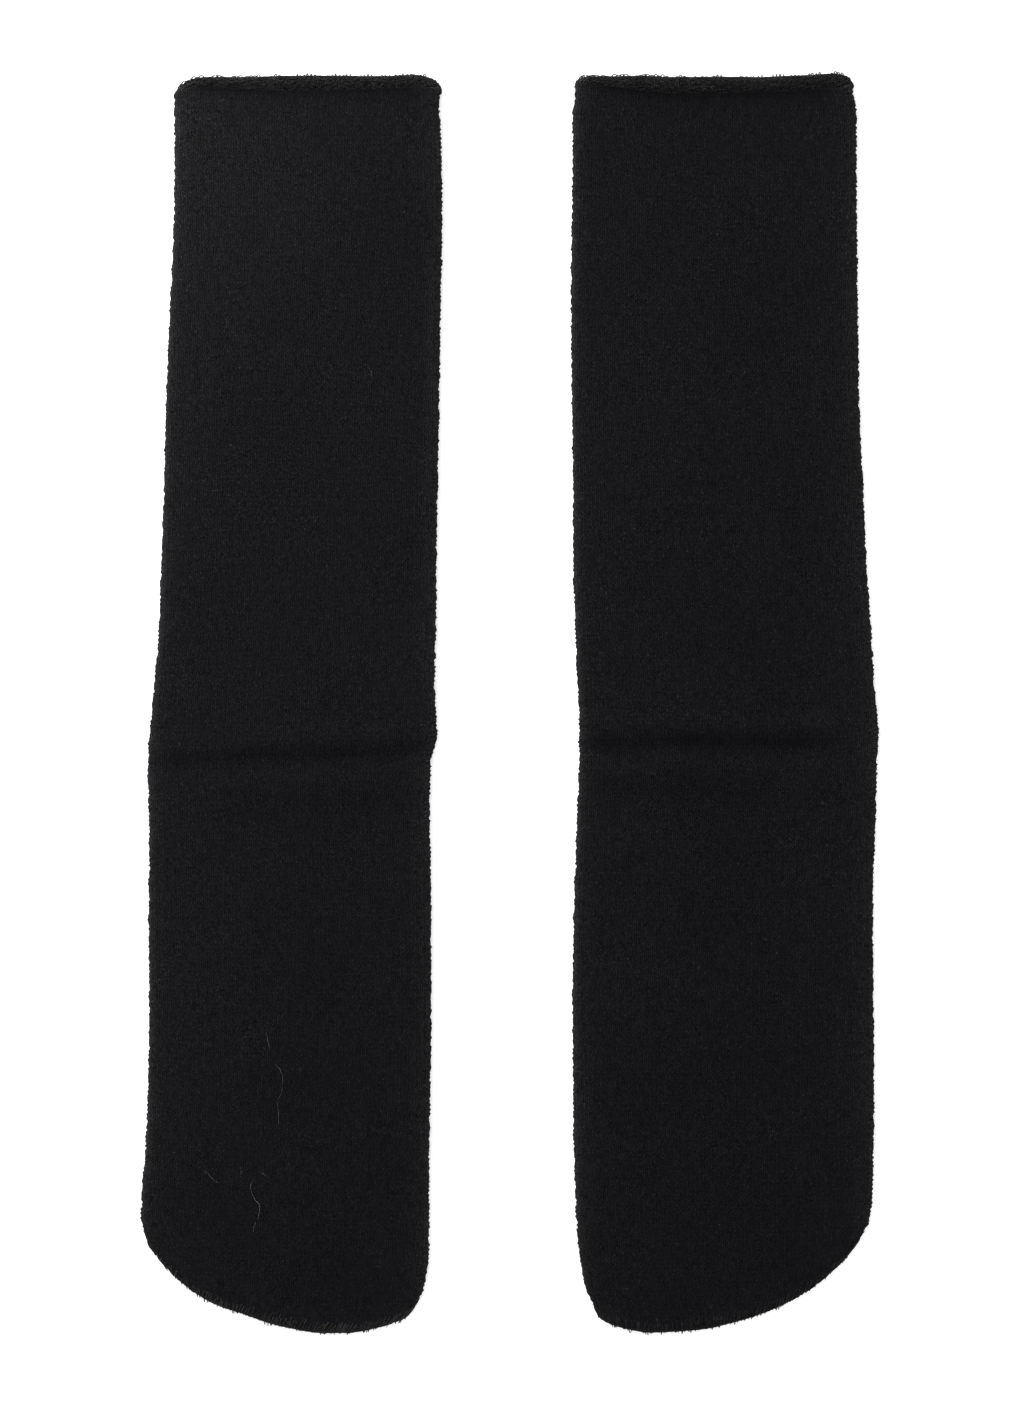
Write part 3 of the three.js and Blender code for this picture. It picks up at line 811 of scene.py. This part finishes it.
def lint(sock):
    """Hairs that lie on the upper layer: each path is bent smoothly through its points and set on the
    cloth, at the wale whose plan place is nearest."""
    paths, radii = [], []
    fine = np.linspace(0, 1, HAIR_POINTS)
    tapered = np.sin(np.pi * np.clip(fine, 0.06, 0.94)) ** 0.6
    wales = np.linspace(2, WALES_HALF - 2, 400)
    for places, thick in LINT:
        places = np.array(places)
        t = np.linspace(0, 1, len(places))
        x, down = (read({"t": t, "p": places[:, i]}, "t", "p", fine) for i in (0, 1))
        around = tube(sock, down[:, None], wales[None, :], 0.0)
        best = np.abs(around[..., 0] - x[:, None]).argmin(1)
        path = around[np.arange(HAIR_POINTS), best]
        path[:, 0], path[:, 1] = x, -down
        path[:, 2] = np.convolve(np.pad(path[:, 2], 2, "edge"), np.ones(5) / 5, "valid") + 0.1
        paths.append(path)
        radii.append(0.45 * thick * tapered * (1 + 0.3 * np.sin(17 * fine)))
    return strands(sock["node"] + "_lint", standing(sock, np.stack(paths), YARN), np.stack(radii), 4)


RIGHT_FOOT["lint"] = lint(RIGHT_FOOT)
print("hairs of lint:", len(LINT))

# %% [markdown]
# ## The finish of the knit
# Close up, the black of a sock is a pattern: yarn that catches some light, and dark gaps between,
# painted into the colour as painted light on the tops and painted shade in the gaps. We draw it from
# the count of wales and courses in the UV map, so that it follows each sock's shape, and not from an
# image. The parts that several materials need are node groups with named sockets.

# %% Helpers for node trees
def node(tree, kind, inputs=None, **settings):
    """A shader node. inputs gives a value, or another node's output, for its sockets by name or number."""
    made = tree.nodes.new("ShaderNode" + kind)
    for name, value in settings.items():
        setattr(made, name, value)
    for key, value in (inputs or {}).items():
        if isinstance(value, bpy.types.NodeSocket):
            tree.links.new(value, made.inputs[key])
        else:
            made.inputs[key].default_value = value
    return made


def maths(tree, operation, *values):
    return node(tree, "Math", dict(enumerate(values)), operation=operation).outputs[0]


def new_group(name, inputs, outputs):
    """An empty node group, its input node and its output node. inputs and outputs map socket names to
    their kinds, or to a kind and a first value."""
    group = bpy.data.node_groups.new(name, "ShaderNodeTree")
    for sockets, way in ((inputs, "INPUT"), (outputs, "OUTPUT")):
        for socket, kind in sockets.items():
            kind, first = kind if isinstance(kind, tuple) else (kind, None)
            made = group.interface.new_socket(socket, in_out=way, socket_type="NodeSocket" + kind)
            if first is not None:
                made.default_value = first
    return group, group.nodes.new("NodeGroupInput").outputs, group.nodes.new("NodeGroupOutput").inputs


def place_group(tree, group, **inputs):
    """A node group in a material, with its own values: their names are the sockets' in small letters."""
    made = tree.nodes.new("ShaderNodeGroup")
    made.node_tree = group
    for socket in made.inputs:
        value = inputs.get(socket.name.lower().replace(" ", "_"))
        if isinstance(value, bpy.types.NodeSocket):
            tree.links.new(value, socket)
        elif value is not None:
            socket.default_value = value
    return made.outputs


# %% Node group: plain knitting from outside
def plain_stitches():
    """Height of the Vs. p is the distance from the wale's middle, 0 to 0.5. Both legs of a V have the
    round section sin(2 pi p), and lie side by side down the wale: the share f = fract(course - slant *
    p) goes from one to the next, with the section 1 - (2f - 1)^2."""
    group, given, result = new_group(
        "Plain stitches",
        {"Stitches": "Vector", "Uneven": ("Float", 0.15), "Slant": ("Float", 1.2)},
        {"Height": "Float", "Single stitch": "Float"},
    )
    place = node(group, "TexCoord").outputs["Object"]
    drift = node(group, "TexNoise", {"Vector": place, "Scale": 1100.0, "Detail": 1.0}).outputs["Color"]
    drift = node(group, "VectorMath", {0: drift, 1: (0.5, 0.5, 0.5)}, operation="SUBTRACT").outputs[0]
    drift = node(group, "VectorMath", {0: drift, "Scale": given["Uneven"]}, operation="SCALE").outputs[0]
    moved = node(group, "VectorMath", {0: given["Stitches"], 1: drift}, operation="ADD").outputs[0]
    parts = node(group, "SeparateXYZ", {0: moved}).outputs
    wale, course = parts["X"], parts["Y"]
    centred = maths(group, "FRACT", maths(group, "ADD", wale, 0.5))
    p = maths(group, "ABSOLUTE", maths(group, "SUBTRACT", centred, 0.5))
    leg = maths(group, "SINE", maths(group, "MULTIPLY", p, 2 * np.pi))
    leg = maths(group, "POWER", maths(group, "MAXIMUM", leg, 0.0), 0.6)
    f = maths(group, "FRACT", maths(group, "SUBTRACT", course, maths(group, "MULTIPLY", p, given["Slant"])))
    from_middle = maths(group, "MULTIPLY_ADD", f, 2.0, -1.0)
    section = maths(group, "SUBTRACT", 1.0, maths(group, "MULTIPLY", from_middle, from_middle))
    height = maths(group, "MULTIPLY", leg, maths(group, "MULTIPLY_ADD", section, 0.5, 0.5))
    group.links.new(height, result["Height"])
    column = maths(group, "FLOOR", maths(group, "ADD", wale, 0.5))
    cell = node(group, "CombineXYZ", {0: column, 1: maths(group, "FLOOR", course)}).outputs[0]
    single = node(group, "TexWhiteNoise", {"Vector": cell}, noise_dimensions="3D").outputs["Value"]
    group.links.new(single, result["Single stitch"])
    return group


PLAIN = plain_stitches()

# %% Node group: the same knitting from inside
def purl_stitches():
    """Height of the purl side: rows of bumps, 1 - (2q - 1)^2, whose share q = fract(course + 0.22 *
    cos(2 pi wale)) waves once for each wale."""
    group, given, result = new_group("Purl stitches", {"Stitches": "Vector"}, {"Height": "Float"})
    parts = node(group, "SeparateXYZ", {0: given["Stitches"]}).outputs
    wave = maths(group, "COSINE", maths(group, "MULTIPLY", parts["X"], 2 * np.pi))
    q = maths(group, "FRACT", maths(group, "MULTIPLY_ADD", wave, 0.22, parts["Y"]))
    from_middle = maths(group, "MULTIPLY_ADD", q, 2.0, -1.0)
    bump = maths(group, "SUBTRACT", 1.0, maths(group, "MULTIPLY", from_middle, from_middle))
    group.links.new(bump, result["Height"])
    return group


PURL = purl_stitches()

# %% Node group: fibres of spun yarn
def spun_fibres():
    """Fuzz too fine for the mesh: noise at about a quarter of a millimetre for single fibres, noise at
    half a millimetre for their tufts, whose highest peaks are the bright ends, and a slow one over
    centimetres, where the nap was brushed by hand."""
    group, given, result = new_group(
        "Spun fibres",
        {"Fine": ("Float", 3800.0), "Tufts": ("Float", 620.0), "Brushed": ("Float", 34.0)},
        {"Fibres": "Float", "Tuft": "Float", "Nap": "Float", "Ends": "Float"},
    )
    place = node(group, "TexCoord").outputs["Object"]
    for socket, scale, detail, rough in (
        ("Fibres", "Fine", 2.0, 0.7),
        ("Tuft", "Tufts", 3.0, 0.65),
        ("Nap", "Brushed", 3.0, 0.55),
    ):
        wanted = {"Vector": place, "Scale": given[scale], "Detail": detail, "Roughness": rough}
        noise = node(group, "TexNoise", wanted).outputs[0]
        spread = node(group, "MapRange", {"Value": noise, "From Min": 0.36, "From Max": 0.64})
        group.links.new(spread.outputs[0], result[socket])
        if socket == "Tuft":
            ends = node(group, "MapRange", {"Value": noise, "From Min": 0.63, "From Max": 0.75})
            group.links.new(ends.outputs[0], result["Ends"])
    return group


FIBRE = spun_fibres()

# %% Node group: the black of the cloth
TONE_SHARES = {"Height": 0.65, "Single stitch": 0.28, "Fibres": 1.65, "Tuft": 0.45, "Ends": 4.2}
TONE_START = -0.985  # their sum starts here: 0 is as dark as the gaps, and 1 as light as the tops
TONE_LEAST = -0.3  # and it falls no lower than this


def black_tone():
    """Colour and roughness from the pattern: painted shade in the gaps between the stitches and painted
    light on their tops, single stitches a little lighter or darker, fibres lighter at random, and the nap
    input, which carries painted light and shade: a high nap is lighter and less blue, as painted sheen,
    and a low nap darker, as painted shade."""
    group, given, result = new_group(
        "Black tone",
        {"Height": "Float", "Single stitch": ("Float", 0.5), "Fibres": ("Float", 0.5), "Tuft": ("Float", 0.5),
         "Ends": "Float", "Brushed": ("Float", 0.5), "Nap": ("Float", 0.5), "Gap": "Color", "Top": "Color"},
        {"Color": "Color", "Roughness": "Float"},
    )
    light = TONE_START
    for socket, share in TONE_SHARES.items():
        light = maths(group, "MULTIPLY_ADD", given[socket], share, light)
    light = maths(group, "MAXIMUM", light, TONE_LEAST)
    base = node(
        group, "Mix", {0: light, 6: given["Gap"], 7: given["Top"]}, data_type="RGBA", clamp_factor=False
    ).outputs[2]
    nap = maths(group, "MULTIPLY_ADD", given["Nap"], 1.3, 0.35)
    nap = maths(group, "MULTIPLY", nap, maths(group, "MULTIPLY_ADD", given["Brushed"], 0.08, 0.96))
    blue = node(group, "MapRange", {"Value": given["Nap"], "From Min": 0.5, "To Min": 1.0, "To Max": 0.9})
    tint = node(group, "CombineXYZ", {0: nap, 1: nap, 2: maths(group, "MULTIPLY", nap, blue.outputs[0])})
    colour = node(group, "VectorMath", {0: base, 1: tint.outputs[0]}, operation="MULTIPLY").outputs[0]
    group.links.new(colour, result["Color"])
    rough = maths(group, "MULTIPLY_ADD", given["Fibres"], 0.12, 0.82)
    group.links.new(rough, result["Roughness"])
    return group


TONE = black_tone()

# %% Materials
def cloth_shader(name):
    """A material with Principled's constant cloth values; returns it with its tree and shader."""
    made = bpy.data.materials.new(name)
    made.use_nodes = True
    shader = made.node_tree.nodes["Principled BSDF"]
    for socket, value in (
        ("Roughness", 0.9), ("Sheen Weight", 0.015), ("Sheen Roughness", 0.45),
        ("Sheen Tint", (0.9, 0.9, 0.97, 1)), ("Specular IOR Level", 0.03),
    ):
        shader.inputs[socket].default_value = value
    return made, made.node_tree, shader


def knitted_black():
    """The cloth of the socks: plain stitches outside, purl inside, fibres over both."""
    made, tree, shader = cloth_shader("knitted_black")
    stitches = node(tree, "UVMap", uv_map="stitches").outputs[0]
    inside = node(tree, "Attribute", attribute_name="inside").outputs["Fac"]
    # The nap attribute carries painted light and shade: painted sheen by the folds and the toe, painted light
    # near one corner, painted shade in the creases and below the mouth's edge.
    nap = node(tree, "Attribute", attribute_name="nap").outputs["Fac"]
    plain = place_group(tree, PLAIN, stitches=stitches, uneven=0.55, slant=1.3)
    purl = place_group(tree, PURL, stitches=stitches)
    fibres = place_group(tree, FIBRE, fine=3500.0, tufts=1700.0, brushed=30.0)
    height = node(tree, "Mix", {0: inside, 2: plain["Height"], 3: purl["Height"]}).outputs[0]
    # Gap and top colours: painted shade in the gaps between the stitches and painted light on their tops.
    tone = place_group(
        tree, TONE, height=height, single_stitch=plain["Single stitch"], fibres=fibres["Fibres"],
        tuft=fibres["Tuft"], ends=fibres["Ends"], brushed=fibres["Nap"], nap=nap,
        gap=(0.0018, 0.0017, 0.0021, 1), top=(0.0069, 0.0067, 0.0080, 1),
    )
    relief_height = maths(tree, "MULTIPLY_ADD", fibres["Fibres"], 0.4, height)
    relief_height = maths(tree, "MULTIPLY_ADD", fibres["Tuft"], 0.25, relief_height)
    bump = node(tree, "Bump", {"Strength": 1.0, "Distance": 0.0003, "Height": relief_height})
    tree.links.new(tone["Color"], shader.inputs["Base Color"])
    tree.links.new(tone["Roughness"], shader.inputs["Roughness"])
    tree.links.new(bump.outputs[0], shader.inputs["Normal"])
    return made


def yarn_black(name, colour, fine, linked=True):
    """Single strands of the same yarn: twisted fibres as noise in roughness and height, and where
    linked also in colour, with the nap attribute, which carries painted light and shade."""
    made, tree, shader = cloth_shader(name)
    shader.inputs["Base Color"].default_value = (*colour, 1)
    fibres = place_group(tree, FIBRE, fine=fine, tufts=900.0, brushed=150.0)
    if linked:
        nap = node(tree, "Attribute", attribute_name="nap").outputs["Fac"]
        tone = place_group(
            tree, TONE, height=fibres["Fibres"], fibres=fibres["Fibres"], tuft=fibres["Tuft"],
            brushed=fibres["Nap"], nap=nap, gap=tuple(0.2 * c for c in colour) + (1,),
            top=tuple(2 * c for c in colour) + (1,),
        )
        tree.links.new(tone["Color"], shader.inputs["Base Color"])
    rough = node(tree, "MapRange", {"Value": fibres["Tuft"], "To Min": 0.75, "To Max": 0.95})
    bump = node(tree, "Bump", {"Strength": 0.6, "Distance": 0.0001, "Height": fibres["Fibres"]})
    tree.links.new(rough.outputs[0], shader.inputs["Roughness"])
    tree.links.new(bump.outputs[0], shader.inputs["Normal"])
    return made


KNIT = knitted_black()
LOOPS = yarn_black("loops_of_black_yarn", (0.0095, 0.0094, 0.0101), 5200.0)
FUZZ = yarn_black("loose_black_fibres", (0.017, 0.0168, 0.018), 6000.0, linked=False)
HAIR = yarn_black("pale_lint", (0.27, 0.265, 0.26), 6000.0, linked=False)
FINISHES = dict(cloth=KNIT, purl=LOOPS, edge=LOOPS, toe=LOOPS, fuzz=FUZZ, lint=HAIR)
for sock in SOCKS:
    for key, finish in FINISHES.items():
        if key in sock:
            sock[key].data.materials.append(finish)
print("finishes:", KNIT.name, LOOPS.name, FUZZ.name, HAIR.name)

# %% [markdown]
# ## Table, light and camera
# Black cloth shows its form only through soft light, so one large lamp hangs at the upper left and the
# whole room gives the rest. The pale table keeps faint shadows to the right of the socks. The camera
# looks straight down.

# %% Floor, camera and light
def area_light(name, place, aim, size, power):
    """A soft square light."""
    light = bpy.data.lights.new(name, "AREA")
    light.shape = "SQUARE"
    light.size = size
    light.energy = power
    made = bpy.data.objects.new(name, light)
    bpy.context.scene.collection.objects.link(made)
    made.location = place
    made.rotation_euler = (Vector(aim) - Vector(place)).to_track_quat("-Z", "Y").to_euler()
    return made


def pale_table():
    """A matt white board with a very faint grain, lit from behind like a light table."""
    made = bpy.data.materials.new("pale_table")
    made.use_nodes = True
    shader = made.node_tree.nodes["Principled BSDF"]
    place = node(made.node_tree, "TexCoord").outputs["Object"]
    grain = node(made.node_tree, "TexNoise", {"Vector": place, "Scale": 300.0, "Detail": 2.0}).outputs[0]
    shade = node(made.node_tree, "MapRange", {"Value": grain, "To Min": 0.895, "To Max": 0.905})
    shader.inputs["Roughness"].default_value = 0.8
    shader.inputs["Emission Color"].default_value = (1, 1, 1, 1)
    shader.inputs["Emission Strength"].default_value = 0.4
    made.node_tree.links.new(shade.outputs[0], shader.inputs["Base Color"])
    return made


floor = make_mesh(
    "floor",
    np.array([[-3000.0, -3000, 0], [3000, -3000, 0], [3000, 3000, 0], [-3000, 3000, 0]]),
    [np.array([[0, 1, 2, 3]])],
)
floor.data.materials.append(pale_table())
area_light("window", place=(-0.46, 0.38, 0.42), aim=(-0.05, 0.05, 0), size=0.4, power=7.5)
bpy.context.scene.view_settings.view_transform = "Standard"
world = bpy.data.worlds.new("room")
world.use_nodes = True
world.node_tree.nodes["Background"].inputs["Color"].default_value = (1, 1, 1, 1)
world.node_tree.nodes["Background"].inputs["Strength"].default_value = 1.0
bpy.context.scene.world = world
CAMERA_PLACE = (0.00068, -0.00185, 1.0402)  # in metres, above the middle of the pair
camera = bpy.data.objects.new("camera", bpy.data.cameras.new("camera"))
camera.data.lens = 85
camera.location = CAMERA_PLACE
bpy.context.scene.collection.objects.link(camera)
bpy.context.scene.camera = camera


# %% [markdown]
# ## Handing the pieces to the frame
# Every piece rides on the pair's one body. The cloth stands for the sock's solid, which is hidden.

for sock in SOCKS:
    pieces = [sock[key] for key in ("purl", "edge", "toe", "fuzz", "lint") if key in sock]
    for piece in [sock["cloth"], *pieces]:
        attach(piece, "root")
    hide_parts(sock["node"])
